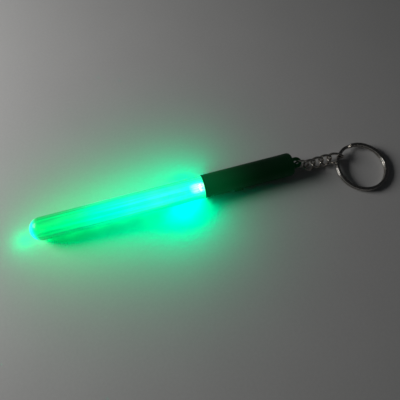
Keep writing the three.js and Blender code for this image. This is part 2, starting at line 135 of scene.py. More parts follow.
LINK_COUNT = 4
hinge_names = ["jump_ring_swing"] + [f"chain_link_{i + 1}_swing" for i in range(LINK_COUNT)]
hooks = [Vector(joints[name]["pos_m"]) for name in hinge_names + ["key_ring_flip"]]
JUMP_RING, *LINKS = [level_frame(a, b - a) for a, b in zip(hooks, hooks[1:])]
ring_up = Vector(mounts["key_ring_face"]["axis"])
KEY_RING = axes_frame(hooks[-1], ring_up.cross(Vector(joints["key_ring_flip"]["axis"])), ring_up)


# ---- Mesh helpers

SAME_POINT = 0.0001 * MM  # closer together than this, two points are one


def new_piece(name, mesh_data, place=Matrix.Identity(4)):
    """A new object from a bmesh built in place's frame. The bmesh is freed."""
    bmesh.ops.remove_doubles(mesh_data, verts=mesh_data.verts, dist=SAME_POINT)
    bmesh.ops.transform(mesh_data, matrix=place, verts=mesh_data.verts)
    bmesh.ops.recalc_face_normals(mesh_data, faces=mesh_data.faces)
    mesh = bpy.data.meshes.new(name)
    mesh_data.to_mesh(mesh)
    mesh_data.free()
    piece = bpy.data.objects.new(name, mesh)
    bpy.context.scene.collection.objects.link(piece)
    return piece


def settle(piece):
    """Applies the piece's modifiers to its mesh."""
    bpy.context.view_layer.update()
    shaped = piece.evaluated_get(bpy.context.evaluated_depsgraph_get())
    mesh = bpy.data.meshes.new_from_object(shaped)
    piece.modifiers.clear()
    piece.data = mesh
    return piece


def combine(piece, tool, operation):
    """Joins the tool to the piece, or cuts it away, and removes the tool."""
    modifier = piece.modifiers.new(operation, "BOOLEAN")
    modifier.operation = operation
    modifier.solver = "MANIFOLD"
    modifier.object = tool
    settle(piece)
    bpy.data.objects.remove(tool)
    return piece


def round_edges(piece, width, segments):
    """Rounds the piece's sharp edges."""
    modifier = piece.modifiers.new("round_edges", "BEVEL")
    modifier.width = width
    modifier.segments = segments
    modifier.limit_method = "ANGLE"
    modifier.angle_limit = math.radians(35)
    return settle(piece)


def arc_points(centre, radius, start, end, steps):
    """Points (along, radius) on an arc, with angles in turns from the X axis."""
    points = []
    for step in range(steps + 1):
        angle = FULL_TURN * (start + (end - start) * step / steps)
        points.append((centre[0] + radius * math.cos(angle), centre[1] + radius * math.sin(angle)))
    return points


def soften(corners, closed=False, steps=4):
    """An outline whose corners (x, y, radius) are rounded to their radius."""
    points = []
    for i, corner in enumerate(corners):
        here = Vector(corner[:2])
        radius = corner[2] if len(corner) > 2 else 0
        inner = closed or 0 < i < len(corners) - 1
        if radius == 0 or not inner:
            points.append(tuple(here))
            continue
        back = (Vector(corners[i - 1][:2]) - here).normalized()
        ahead = (Vector(corners[(i + 1) % len(corners)][:2]) - here).normalized()
        half = back.angle(ahead) / 2
        centre = here + (back + ahead).normalized() * radius / math.sin(half)
        first = here + back * radius / math.tan(half) - centre
        last = here + ahead * radius / math.tan(half) - centre
        sweep_angle = math.pi - 2 * half
        for step in range(steps + 1):
            share = step / steps
            a = math.sin((1 - share) * sweep_angle) / math.sin(sweep_angle)
            b = math.sin(share * sweep_angle) / math.sin(sweep_angle)
            points.append(tuple(centre + first * a + last * b))
    return points


def revolve(name, outline, place, segments, closed=False, ripple=None):
    """A solid of revolution about place's X axis, from (along, radius) points.

    The outline runs from axis to axis, or closes on itself. ripple(index, angle) may
    change a point's radius round the axis.
    """
    shape = bmesh.new()
    rings = []
    for index, (along, radius) in enumerate(outline):
        if radius < SAME_POINT:
            rings.append([shape.verts.new((along, 0, 0))] * segments)
            continue
        ring = []
        for step in range(segments):
            angle = FULL_TURN * step / segments
            reach = radius + (ripple(index, angle) if ripple else 0)
            ring.append(shape.verts.new((along, reach * math.cos(angle), reach * math.sin(angle))))
        rings.append(ring)
    pairs = list(zip(rings, rings[1:]))
    if closed:
        pairs.append((rings[-1], rings[0]))
    for near, far in pairs:
        for step in range(segments):
            after = (step + 1) % segments
            corners = [near[step], near[after], far[after], far[step]]
            kept = [corner for i, corner in enumerate(corners) if corner not in corners[:i]]
            if len(kept) > 2:
                shape.faces.new(kept)
    return new_piece(name, shape, place)


def upright(place, x):
    """place's frame turned so that revolve() works about its Z axis, at x."""
    return place @ Matrix.Translation((x, 0, 0)) @ Matrix.Rotation(-math.pi / 2, 4, "Y")


def round_section(radius, points=16):
    angles = [FULL_TURN * i / points for i in range(points)]
    return [(radius * math.cos(angle), radius * math.sin(angle)) for angle in angles]


def flat_section(width, height, corner):
    """A rectangle with rounded corners: width across, height up."""
    x, y = width / 2, height / 2
    corners = [(x, y, corner), (-x, y, corner), (-x, -y, corner), (x, -y, corner)]
    return soften(corners, closed=True)


def sweep(name, points, section, place, closed=False, level=False, end_radius=0.0):
    """A section carried along points. The section's first axis points sideways to the path.

    It stays level if level is set, and otherwise turns as little as it can. Open ends are
    rounded by end_radius.
    """
    count = len(points)
    tangents = []
    for i in range(count):
        after = points[(i + 1) % count] if closed else points[min(i + 1, count - 1)]
        before = points[i - 1] if closed else points[max(i - 1, 0)]
        tangents.append((after - before).normalized())
    sides = []
    side = tangents[0].orthogonal().normalized()
    for tangent in tangents:
        if level:
            side = tangent.cross(Vector((0, 0, 1))).normalized()
        else:
            side = (side - tangent * side.dot(tangent)).normalized()
        sides.append(side)
    twist = 0.0
    if closed and not level:
        carried = (side - tangents[0] * side.dot(tangents[0])).normalized()
        handedness = carried.cross(sides[0]).dot(tangents[0])
        twist = math.copysign(carried.angle(sides[0]), handedness)
    stations = [(points[i], tangents[i], sides[i], 1.0, twist * i / count) for i in range(count)]
    if not closed and end_radius > 0:
        size = max(abs(value) for point in section for value in point)
        stations = rounded_ends(stations, end_radius, size)
    shape = bmesh.new()
    rings = []
    for centre, tangent, side, scale, turn in stations:
        side = Matrix.Rotation(turn, 3, tangent) @ side
        lift = side.cross(tangent)
        ring = [shape.verts.new(centre + (side * a + lift * b) * scale) for a, b in section]
        rings.append(ring)
    pairs = list(zip(rings, rings[1:]))
    if closed:
        pairs.append((rings[-1], rings[0]))
    else:
        shape.faces.new(rings[0])
        shape.faces.new(rings[-1])
    for near, far in pairs:
        for i in range(len(section)):
            j = (i + 1) % len(section)
            shape.faces.new((near[i], near[j], far[j], far[i]))
    return new_piece(name, shape, place)


def rounded_ends(stations, radius, size, steps=3):
    """Shrinks a sweep's two ends over a quarter circle, without making it longer."""

    def quarter(end, direction):
        centre, tangent, side, _, turn = end
        rows = []
        for step in range(1, steps + 1):
            angle = math.pi / 2 * step / steps
            shrink = 1 - radius * (1 - math.cos(angle)) / size
            shift = radius * (math.sin(angle) - 1) * direction
            rows.append((centre + tangent * shift, tangent, side, shrink, turn))
        return rows

    def step_back(end, direction):
        centre, tangent, side, scale, turn = end
        return (centre - tangent * radius * direction, tangent, side, scale, turn)

    first, last = stations[0], stations[-1]
    inner = stations[1:-1]
    head = list(reversed(quarter(first, -1))) + [step_back(first, -1)]
    tail = [step_back(last, 1)] + quarter(last, 1)
    return head + inner + tail


def plate(name, outline, depth, place):
    """An outline in place's XY plane, made depth thick about that plane."""
    shape = bmesh.new()
    floor = [shape.verts.new((x, y, -depth / 2)) for x, y in outline]
    base = shape.faces.new(floor)
    extruded = bmesh.ops.extrude_face_region(shape, geom=[base])
    raised = [item for item in extruded["geom"] if isinstance(item, bmesh.types.BMVert)]
    bmesh.ops.translate(shape, vec=(0, 0, depth), verts=raised)
    return new_piece(name, shape, place)


def refined(node, edge):
    """A copy of a CAD node's own shape, with its facets cleaned up and its edges rounded."""
    shape = bmesh.new()
    shape.from_mesh(frame["nodes"][node].data)
    bmesh.ops.remove_doubles(shape, verts=shape.verts, dist=10 * SAME_POINT)
    flat = math.radians(1)
    bmesh.ops.dissolve_limit(shape, angle_limit=flat, verts=shape.verts, edges=shape.edges)
    piece = new_piece(node + "_shape", shape)
    return round_edges(piece, edge, 2)


def stands_for(piece, node):
    """Shows the piece in place of its CAD node, on the node's body and in its finish."""
    piece.data.shade_smooth()
    piece.data.set_sharp_from_angle(angle=math.radians(32))
    piece.data.materials.clear()
    piece.data.materials.append(finish_of(node))
    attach(piece, frame["nodes"][node]["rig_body"])
    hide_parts(node)
    return piece


# ---- Node helpers for the materials

class Graph:
    """A material's node tree, with short ways to add and join nodes."""

    def __init__(self, name):
        self.name = name
        self.material = bpy.data.materials.new(name)
        self.material.use_nodes = True
        self.tree = self.material.node_tree
        self.surface = self.tree.nodes["Principled BSDF"]
        self.place = self.add("ShaderNodeTexCoord").outputs["Object"]

    def add(self, kind, **settings):
        """Adds a node and sets its properties."""
        node = self.tree.nodes.new(kind)
        for key, value in settings.items():
            setattr(node, key, value)
        return node

    def put(self, socket, value):
        """Joins an output to a socket, or gives the socket a plain value."""
        if isinstance(value, bpy.types.NodeSocket):
            self.tree.links.new(value, socket)
        else:
            socket.default_value = value

    def maths(self, operation, *values, clamp=False):
        """The result of a math node on the values."""
        node = self.add("ShaderNodeMath", operation=operation, use_clamp=clamp)
        for socket, value in zip(node.inputs, values):
            self.put(socket, value)
        return node.outputs[0]

    def mapped(self, value, low, high, to_low=0.0, to_high=1.0, smooth=False):
        """The value carried from the range low to high to the range to_low to to_high."""
        kind = "SMOOTHSTEP" if smooth else "LINEAR"
        node = self.add("ShaderNodeMapRange", interpolation_type=kind)
        for socket, number in zip(node.inputs, (value, low, high, to_low, to_high)):
            self.put(socket, number)
        return node.outputs[0]

    def mixed(self, share, first, second):
        """A colour between first and second, which are a mix node's sockets 6 and 7."""
        node = self.add("ShaderNodeMix", data_type="RGBA")
        self.put(node.inputs["Factor"], share)
        self.put(node.inputs[6], first)
        self.put(node.inputs[7], second)
        return node.outputs[2]

    def stretched(self, scale):
        """The object's own coordinates, scaled per axis."""
        node = self.add("ShaderNodeMapping")
        self.put(node.inputs["Vector"], self.place)
        node.inputs["Scale"].default_value = scale
        return node.outputs[0]

    def noise(self, size, detail=3.0, stretch=(1, 1, 1)):
        """Noise from 0 to 1 whose spots are about size metres across, longer where stretched."""
        node = self.add("ShaderNodeTexNoise")
        self.put(node.inputs["Vector"], self.stretched([1 / value for value in stretch]))
        node.inputs["Scale"].default_value = 1 / size
        node.inputs["Detail"].default_value = detail
        return node.outputs["Fac"]

    def bump(self, height, depth, strength):
        """Raises the surface by up to depth metres where height is 1."""
        node = self.add("ShaderNodeBump")
        node.inputs["Strength"].default_value = strength
        node.inputs["Distance"].default_value = depth
        self.put(node.inputs["Height"], height)
        self.put(self.surface.inputs["Normal"], node.outputs[0])

    def set(self, **values):
        """Sets the surface's inputs by name, with underscores for spaces."""
        for key, value in values.items():
            self.put(self.surface.inputs[key.replace("_", " ")], value)


def worn_edges(graph):
    """Near 1 on outer edges, broken up by noise, and 0 elsewhere."""
    pointiness = graph.add("ShaderNodeNewGeometry").outputs["Pointiness"]
    edge = graph.mapped(pointiness, 0.53, 0.6)
    return graph.maths("MULTIPLY", edge, graph.mapped(graph.noise(0.8 * MM), 0.4, 0.65), clamp=True)


def moulded(name, colour, roughness, grain=0.12 * MM, coat=0.0):
    """Moulded plastic: fine grain, cloudy gloss and paler rubbed edges."""
    graph = Graph(name)
    cloud = graph.noise(4 * MM)
    pale = [min(1.0, value * 2.2 + 0.03) for value in colour[:3]] + [1]
    dark = [value * 0.75 for value in colour[:3]] + [1]
    tone = graph.mixed(graph.mapped(cloud, 0.3, 0.7), colour, dark)
    scuffs = graph.mapped(graph.noise(0.35 * MM, 5, stretch=(9, 1, 1)), 0.62, 0.78)
    rubbed = graph.maths("MULTIPLY", worn_edges(graph), 0.25)
    worn = graph.maths("MAXIMUM", rubbed, graph.maths("MULTIPLY", scuffs, 0.06))
    tone = graph.mixed(worn, tone, pale)
    gloss = graph.mapped(graph.noise(1.5 * MM, 4), 0.3, 0.7, roughness - 0.07, roughness + 0.09)
    gloss = graph.maths("ADD", gloss, graph.maths("MULTIPLY", scuffs, 0.12))
    graph.set(Base_Color=tone, Roughness=gloss, Coat_Weight=coat, Coat_Roughness=0.15)
    graph.bump(graph.noise(grain, 2), 0.02 * MM, 0.35)
    return graph


def plated(name, colour, roughness, lines=(1, 1, 1), tarnish=0.35):
    """Plated or drawn metal: fine drawing lines, smudges and tarnish in patches."""
    graph = Graph(name)
    patch = graph.mapped(graph.noise(2.2 * MM, 4), 0.45, 0.75, 0, tarnish)
    dull = [value * factor for value, factor in zip(colour, (0.45, 0.4, 0.33, 1))]
    tone = graph.mixed(patch, colour, dull)
    drawn = graph.noise(0.1 * MM, 3, stretch=lines)
    gloss = graph.mapped(graph.noise(0.9 * MM, 4), 0.3, 0.7, roughness - 0.05, roughness + 0.1)
    gloss = graph.maths("ADD", gloss, graph.maths("MULTIPLY", patch, 0.3))
    graph.set(Base_Color=tone, Metallic=1.0, Roughness=gloss)
    graph.bump(drawn, 0.012 * MM, 0.3)
    return graph


# ---- Materials

LED_GREEN = (0.0, 1.0, 0.32, 1)
LENS_WHITE = (0.8, 1.0, 0.95, 1)
HOT_WHITE = (0.7, 1.0, 0.92, 1)
BLACK_PLASTIC = (0.006, 0.008, 0.007, 1)

# How the tube's light changes from the rim (0) to the tip (1).
TUBE_GLOW = [(0.0, 1.0), (0.25, 0.9), (0.58, 0.84), (0.76, 0.5), (0.9, 0.4), (1.0, 0.4)]
TUBE_BLUE = [(0.0, 0.42), (0.14, 0.41), (0.3, 0.46), (0.46, 0.49), (0.63, 0.4), (0.8, 0.27), (1.0, 0.2)]
TUBE_PEAK = 3.4


def distance_from_rim(graph):
    """How far a point is from the handle's rim along the stick, towards the tip, in metres."""
    x = graph.add("ShaderNodeSeparateXYZ")
    graph.put(x.inputs[0], graph.place)
    return graph.maths("SUBTRACT", rim.x, x.outputs[0])


def ramp(graph, value, stops):
    """A smooth curve through (position, level) stops."""
    node = graph.add("ShaderNodeValToRGB")
    node.color_ramp.interpolation = "EASE"
    elements = node.color_ramp.elements
    while len(elements) < len(stops):
        elements.new(0.5)
    for element, (position, level) in zip(elements, stops):
        element.position = position
        element.color = (level, level, level, 1)
    graph.put(node.inputs[0], value)
    return node.outputs[0]


def tube_colour(graph, along, tip, hot):
    """Cyan along the first half, greener on the way to the tip, and cyan again on the dome."""
    red = graph.mapped(along, 0.25, 0.6, 0.02, 0.0)
    blue = ramp(graph, along, TUBE_BLUE)
    blue = graph.maths("ADD", blue, graph.maths("MULTIPLY", tip, 0.38))
    colour = graph.add("ShaderNodeCombineColor")
    for socket, value in zip(colour.inputs, (red, 1.0, blue)):
        graph.put(socket, value)
    return graph.mixed(hot, colour.outputs[0], HOT_WHITE)


def tube_finish():
    """Clear plastic lit from its handle end. It glows most along its middle and at its tip."""
    graph = Graph("clear_tube")
    away = distance_from_rim(graph)
    along = graph.maths("DIVIDE", away, TUBE_LENGTH, clamp=True)
    facing = graph.add("ShaderNodeLayerWeight").outputs["Facing"]
    level = ramp(graph, along, TUBE_GLOW)
    core = graph.mapped(facing, 0.03, 0.62, 1.0, 0.32)
    fine = graph.mapped(graph.noise(0.32 * MM, 2, stretch=(90, 1, 1)), 0.35, 0.65, 0.8, 1.12)
    broad = graph.mapped(graph.noise(1.3 * MM, 1, stretch=(40, 1, 1)), 0.35, 0.65, 0.78, 1.1)
    bore_line = ramp(graph, facing, [(0.3, 1.0), (0.38, 0.62), (0.46, 1.0)])
    for factor in (core, fine, broad, bore_line):
        level = graph.maths("MULTIPLY", level, factor)
    tip = graph.mapped(away, TUBE_LENGTH - 4.5 * MM, TUBE_LENGTH - 1.8 * MM, smooth=True)
    tip = graph.maths("MULTIPLY", tip, graph.mapped(facing, 0.1, 0.4, smooth=True))
    level = graph.maths("ADD", level, graph.maths("MULTIPLY", tip, 0.5))
    inside = graph.add("ShaderNodeNewGeometry").outputs["Backfacing"]
    level = graph.maths("MULTIPLY", level, graph.mapped(inside, 0, 1, TUBE_PEAK, 0.15 * TUBE_PEAK))
    fan = graph.mapped(graph.noise(0.3 * MM, 2, stretch=(14, 1, 1)), 0.4, 0.6, 0.2, 1.0)
    reach = graph.mapped(away, 2.5 * MM, 7 * MM, 1, 0, smooth=True)
    middle = graph.mapped(facing, 0.0, 0.14, 1, 0, smooth=True)
    hot = graph.maths("MULTIPLY", graph.maths("MULTIPLY", reach, middle), fan)
    graph.set(
        Base_Color=(0.01, 0.06, 0.03, 1),
        Roughness=graph.mapped(graph.noise(3 * MM), 0.3, 0.7, 0.08, 0.2),
        IOR=1.49,
        Emission_Color=tube_colour(graph, along, tip, hot),
        Emission_Strength=level,
        Alpha=graph.mapped(facing, 0.1, 0.9, 0.5, 0.92),
    )
    graph.bump(graph.noise(0.6 * MM, 2, stretch=(80, 1, 1)), 0.03 * MM, 0.3)
    return graph


def led_finish():
    """Water-clear resin, white-hot at the lens and green towards its flange."""
    graph = Graph("led_resin")
    away = distance_from_rim(graph)
    hot = graph.mapped(away, 0.2 * MM, 1.6 * MM, smooth=True)
    spots = graph.mapped(graph.noise(0.5 * MM), 0.3, 0.7, 0.85, 1.1)
    graph.set(
        Base_Color=(0.7, 1.0, 0.85, 1),
        Roughness=graph.mapped(graph.noise(0.7 * MM), 0.3, 0.7, 0.05, 0.15),
        Emission_Color=graph.mixed(hot, LED_GREEN, LENS_WHITE),
        Emission_Strength=graph.maths("MULTIPLY", graph.mapped(hot, 0, 1, 1.5, 10), spots),
    )
    graph.bump(graph.noise(0.3 * MM), 0.01 * MM, 0.2)
    return graph


def handle_finish_with_painted_glow(name, roughness, coat=0.0):
    """Black plastic. A painted green glow near the rim stands in for the LED's light falling on the
    front of the handle.
    """
    graph = moulded(name, BLACK_PLASTIC, roughness, coat=coat)
    graph.surface.inputs["Specular IOR Level"].default_value = 0.12
    painted_glow_length = 34 * MM
    reach = graph.mapped(distance_from_rim(graph), -painted_glow_length, 0, smooth=True)
    # Painted glow: emission strongest at the rim, fading over painted_glow_length to a faint glow on
    # the rest of the handle.
    painted_glow = graph.mapped(graph.maths("POWER", reach, 2.0), 0, 1, 0.0045, 0.055)
    graph.set(Emission_Color=(0.0, 1.0, 0.24, 1), Emission_Strength=painted_glow)
    return graph


def board_finish():
    """Green solder mask with its tracks showing through as paler lines."""
    graph = Graph("circuit_laminate")
    weave = graph.add("ShaderNodeTexBrick")
    graph.put(weave.inputs["Vector"], graph.stretched((900, 900, 900)))
    tracks = graph.mapped(weave.outputs["Fac"], 0.2, 0.8)
    tone = graph.mixed(tracks, (0.012, 0.13, 0.045, 1), (0.03, 0.24, 0.08, 1))
    stain = graph.mapped(graph.noise(1.2 * MM), 0.35, 0.7, 0, 0.4)
    tone = graph.mixed(stain, tone, (0.01, 0.09, 0.03, 1))
    graph.set(Base_Color=tone, Roughness=graph.mapped(graph.noise(0.8 * MM), 0.3, 0.7, 0.28, 0.42))
    graph.bump(tracks, 0.03 * MM, 0.5)
    return graph


graphs = [
    tube_finish(),
    led_finish(),
    # The handle and the button both carry a painted green glow that stands for the LED's light falling
    # on them.
    handle_finish_with_painted_glow("black_plastic", 0.5),
    handle_finish_with_painted_glow("button_plastic", 0.22, coat=0.5),
    moulded("white_plastic", (0.74, 0.74, 0.7, 1), 0.45),
    moulded("black_resin", (0.02, 0.02, 0.02, 1), 0.5, grain=0.06 * MM),
    moulded("sleeve_film", (0.6, 0.62, 0.58, 1), 0.3, grain=0.5 * MM, coat=0.4),
    board_finish(),
    plated("tinned_wire", (0.62, 0.62, 0.6, 1), 0.35),
    plated("spring_steel", (0.5, 0.5, 0.49, 1), 0.28),
    plated("contact_brass", (0.72, 0.5, 0.22, 1), 0.3, lines=(8, 1, 1)),
    plated("cell_steel", (0.66, 0.66, 0.63, 1), 0.25, lines=(6, 1, 1)),
    plated("nickel_plate", (0.66, 0.63, 0.58, 1), 0.13),
    plated("ring_plate", (0.52, 0.5, 0.47, 1), 0.18, tarnish=0.25),
]
finishes = {graph.name: graph.material for graph in graphs}


def finish_of(node):
    """The material of a CAD node's slot."""
    return finishes[slots[node]]


# ---- The light tube and LED

SPIGOT_RADIUS = HANDLE_BORE - PRESS_GAP
SPIGOT_LENGTH = measure("light_tube", STICK)[1].x
SPIGOT_WALL = 0.9 * MM
TUBE_WALL = 1.1 * MM
RIB_COUNT = 20
RIB_HEIGHT = 0.22 * MM
LED_RADIUS = 2.5 * MM
LED_FLANGE_DEPTH = 1 * MM


def make_tube():
    """A tube with a domed closed tip, a spigot in the handle and fine ribs along its bore."""
    dome_x = TUBE_RADIUS - TUBE_LENGTH
    quarters = [dome_x * quarter / 4 for quarter in (1, 2, 3)]
    bore = TUBE_RADIUS - TUBE_WALL
    spigot_bore = SPIGOT_RADIUS - SPIGOT_WALL
    rim_gap = 0.02 * MM
    small_round = 0.1 * MM
    neck_start, neck_end = 0.2 * MM, -0.3 * MM
    ribs_start = -1 * MM
    outside = arc_points((dome_x, 0), TUBE_RADIUS, 0.5, 0.25, 24)
    outside += [(x, TUBE_RADIUS) for x in reversed(quarters)]
    outside += soften([
        (quarters[0], TUBE_RADIUS),
        (-rim_gap, TUBE_RADIUS, 0.12 * MM),
        (-rim_gap, SPIGOT_RADIUS, small_round),
        (SPIGOT_LENGTH, SPIGOT_RADIUS, 0.25 * MM),
        (SPIGOT_LENGTH, spigot_bore, small_round),
        (neck_start, spigot_bore, small_round),
        (neck_end, bore),
    ])[1:]
    ribbed_from = len(outside)
    inside = [(x, bore) for x in [ribs_start] + quarters]
    dome_from = ribbed_from + len(inside)
    inside += arc_points((dome_x, 0), bore, 0.25, 0.5, 20)
    fading_rings = 10

    def ribs(index, angle):
        """Narrow ribs along the bore, which fade out round the first half of the dome."""
        if index < ribbed_from:
            return 0
        fade = max(0.0, 1 - max(0, index - dome_from) / fading_rings)
        return -RIB_HEIGHT * fade * (0.5 + 0.5 * math.cos(RIB_COUNT * angle)) ** 2

    piece = revolve("tube_moulding", outside + inside, STICK, segments=240, ripple=ribs)
    return stands_for(piece, "light_tube")


def make_led():
    """A round-nosed LED body with a flange at its back."""
    low, high = measure("led_body", HANDLE)
    flange_start = high.x - LED_FLANGE_DEPTH
    flange_round = 0.12 * MM
    lens_centre = low.x + LED_RADIUS
    lens = arc_points((lens_centre, 0), LED_RADIUS, 0.5, 0.25, 16)
    base = soften([
        (lens_centre, LED_RADIUS),
        (flange_start, LED_RADIUS, 0.1 * MM),
        (flange_start, high.z, flange_round),
        (high.x, high.z, flange_round),
        (high.x, 0),
    ])[1:]
    piece = revolve("led_lens", lens + base, HANDLE, segments=64)
    return stands_for(piece, "led_body")


# ---- The handle

# Radii of the moulded parts' rounded edges.
RIM_ROUND = 0.22 * MM
SEAM_ROUND = 0.16 * MM
SMALL_ROUND = 0.1 * MM
INNER_ROUND = 0.08 * MM


def make_collar():
    """The thin ring at the front of the handle."""
    low, high = measure("front_collar", HANDLE)
    outline = soften([
        (low.x, HANDLE_BORE, INNER_ROUND),
        (low.x, HANDLE_RADIUS, RIM_ROUND),
        (high.x, HANDLE_RADIUS, SEAM_ROUND),
        (high.x, HANDLE_BORE, INNER_ROUND),
    ], closed=True)
    piece = revolve("collar_moulding", outline, HANDLE, segments=128, closed=True)
    return stands_for(piece, "front_collar")


THREAD_PITCH = 1.6 * MM
THREAD_START = CAP_FRONT + 1.1 * MM
GROOVE_RADIUS = 0.62 * MM
RIDGE_RADIUS = 0.45 * MM
CAP_SPIGOT_RADIUS = HANDLE_BORE - SLIDE_GAP
BUTTON_FLANGE_RADIUS = half_width("push_button")
BUTTON_RADIUS = BUTTON_FLANGE_RADIUS - 0.4 * MM


def thread_points(start, turns, phase):
    """Points on the right-handed helix of the thread, on the surface of the cap's spigot."""
    steps_per_turn = 40
    points = []
    count = round(turns * steps_per_turn)
    for step in range(count + 1):
        turned = turns * step / count
        angle = phase + FULL_TURN * turned
        across = Vector((0, math.cos(angle), math.sin(angle))) * CAP_SPIGOT_RADIUS
        points.append(across + Vector((start + turned * THREAD_PITCH, 0, 0)))
    return points


def button_centre():
    """How far along the handle the button sits."""
    low, high = measure("push_button", HANDLE)
    return (low.x + high.x) / 2


def button_well():
    """The space cut for the button: a hole that flares into a shallow dish at the surface."""
    radius = BUTTON_RADIUS + SLIDE_GAP
    inner_end = 2 * MM
    outer_end = HANDLE_RADIUS + 2 * MM
    outline = [
        (inner_end, 0),
        (inner_end, radius),
        (HANDLE_RADIUS - 0.75 * MM, radius),
        (HANDLE_RADIUS - 0.2 * MM, radius + 0.35 * MM),
        (outer_end, radius + 0.5 * MM),
        (outer_end, 0),
    ]
    return revolve("hole", outline, upright(HANDLE, button_centre()), 64)


def strip_channel():
    """The channel along the bottom of the bore that holds the positive strip."""
    strip_low = measure("positive_strip", HANDLE)[0]
    start = strip_low.x - 0.4 * MM
    side = half_width("positive_strip") + 0.25 * MM
    floor = SLIDE_GAP - strip_low.z
    middle = 3.5 * MM  # inside the bore, so the channel is open along its top
    outline = [(start, -side), (CAP_END, -side), (CAP_END, side), (start, side)]
    return plate("channel", outline, 2 * (floor - middle), HANDLE @ Matrix.Translation((0, 0, -middle)))


def thread_groove():
    """The groove in the bore that the cap's ridge runs in, out through the open end."""
    lead_in = 0.15  # turns that the groove starts ahead of the ridge
    turns = (CAP_END - THREAD_START) / THREAD_PITCH
    path = thread_points(THREAD_START - lead_in * THREAD_PITCH, turns, -lead_in * FULL_TURN)
    return sweep("groove", path, round_section(GROOVE_RADIUS), HANDLE)


def make_barrel():
    """The handle's tube, with the button's well, the strip's channel and the thread's groove."""
    outline = soften([
        (BARREL_START, HANDLE_BORE, INNER_ROUND),
        (BARREL_START, HANDLE_RADIUS, SEAM_ROUND),
        (BARREL_END, HANDLE_RADIUS, SEAM_ROUND),
        (BARREL_END, HANDLE_BORE, INNER_ROUND),
    ], closed=True)
    piece = revolve("barrel_moulding", outline, HANDLE, segments=160, closed=True)
    for cutter in (button_well, strip_channel, thread_groove):
        combine(piece, cutter(), "DIFFERENCE")
    return stands_for(piece, "handle_barrel")


def make_button():
    """A domed cap with a rounded rim, over a flange and the foot that presses the switch."""
    low, high = measure("push_button", HANDLE)
    foot_radius = 1.0 * MM
    flange_low = low.z + 0.8 * MM
    flange_high = flange_low + 0.55 * MM
    crown = 0.3 * MM
    dome_radius = (BUTTON_RADIUS ** 2 + crown ** 2) / (2 * crown)
    spread = math.asin(BUTTON_RADIUS / dome_radius) / FULL_TURN
    dome = arc_points((high.z - dome_radius, 0), dome_radius, spread, 0, 10)
    side = soften([
        (low.z, 0),
        (low.z, foot_radius, INNER_ROUND),
        (flange_low, foot_radius, SMALL_ROUND),
        (flange_low, BUTTON_FLANGE_RADIUS, INNER_ROUND),
        (flange_high, BUTTON_FLANGE_RADIUS, INNER_ROUND),
        (flange_high, BUTTON_RADIUS, INNER_ROUND),
        (high.z - crown, BUTTON_RADIUS, 0.14 * MM),
        dome[1],
    ])
    piece = revolve("button_cap", side + dome[2:], upright(HANDLE, button_centre()), 64)
    return stands_for(piece, "push_button")


# ---- The cap, its lug and thread

def make_lug():
    """The flat round-ended lug, with a hole that flares towards both faces."""
    tip_x = measure("end_cap", STICK)[1].x
    hole_x = (STICK.inverted() @ hooks[0]).x
    lug_face = (STICK.inverted() @ Vector(mounts["lug_flat_face"]["pos_m"])).z
    lug_radius = 2.5 * MM
    root = CAP_END - 1 * MM
    outline = [(root, lug_radius), (root, -lug_radius)]
    outline += arc_points((tip_x - lug_radius, 0), lug_radius, -0.25, 0.25, 24)
    piece = plate("lug", outline, 2 * lug_face, STICK)
    round_edges(piece, 0.28 * MM, 4)
    flare = 0.3 * MM
    hole = 1.15 * MM
    upper_half = [
        (lug_face - flare, hole),
        (lug_face, hole + flare),
        (lug_face + flare, hole + 2 * flare),
        (lug_face + flare, 0),
    ]
    lower_half = [(-along, radius) for along, radius in reversed(upper_half)]
    cutter = revolve("lug_hole", lower_half + upper_half, upright(STICK, hole_x), 48)
    return combine(piece, cutter, "DIFFERENCE")


def make_cap():
    """The screw cap: a hollow spigot with its ridge, a rounded shoulder and the lug."""
    cup_bore = 2.65 * MM
    bore_end = measure("spring_plate", STICK)[1].x + 2 * PRESS_GAP
    shoulder = 1.4 * MM
    outline = soften([
        (bore_end, 0),
        (bore_end, cup_bore, SMALL_ROUND),
        (CAP_FRONT, cup_bore, INNER_ROUND),
        (CAP_FRONT, CAP_SPIGOT_RADIUS, RIM_ROUND),
        (CAP_START, CAP_SPIGOT_RADIUS, SMALL_ROUND),
        (CAP_START, HANDLE_RADIUS, SEAM_ROUND),
    ])
    outline += [(CAP_START + SEAM_ROUND, HANDLE_RADIUS)]
    shoulder_centre = (CAP_END - shoulder, HANDLE_RADIUS - shoulder)
    outline += arc_points(shoulder_centre, shoulder, 0.25, 0.0, 12)
    outline += [(CAP_END, 0)]
    piece = revolve("cap_moulding", outline, STICK, segments=160)
    combine(piece, make_lug(), "UNION")
    ridge_turns = 1.2
    path = thread_points(THREAD_START, ridge_turns, 0)
    ridge = sweep("ridge", path, round_section(RIDGE_RADIUS), HANDLE, end_radius=0.3 * MM)
    combine(piece, ridge, "UNION")
    return stands_for(piece, "end_cap")


# ---- Chain and rings

LINK_WIRE = 0.6 * MM  # radius
LINK_HALF_WIDTH = 2.2 * MM  # to the middle of the wire
LINK_TWIST = (-15, 75)  # degrees, at the link's start and at its end
LAST_LINK_TWIST = (-10, 110)


def make_jump_ring():
    """A round wire ring, open by a hair where its ends meet."""
    wire = 0.45 * MM
    radius = (hooks[1] - hooks[0]).length / 2
    opening = math.radians(100)
    half_gap = 0.05 * MM / radius
    points = []
    count = 120
    for step in range(count + 1):
        angle = opening + half_gap + (FULL_TURN - 2 * half_gap) * step / count
        points.append(Vector((radius * (1 + math.cos(angle)), 0, radius * math.sin(angle))))
    piece = sweep("jump_ring_wire", points, round_section(wire), JUMP_RING, end_radius=0.08 * MM)
    return stands_for(piece, "jump_ring")


def bulge(value, squareness=0.75):
    """Makes an oval's sides run straighter than an ellipse's."""
    return math.copysign(abs(value) ** squareness, value)


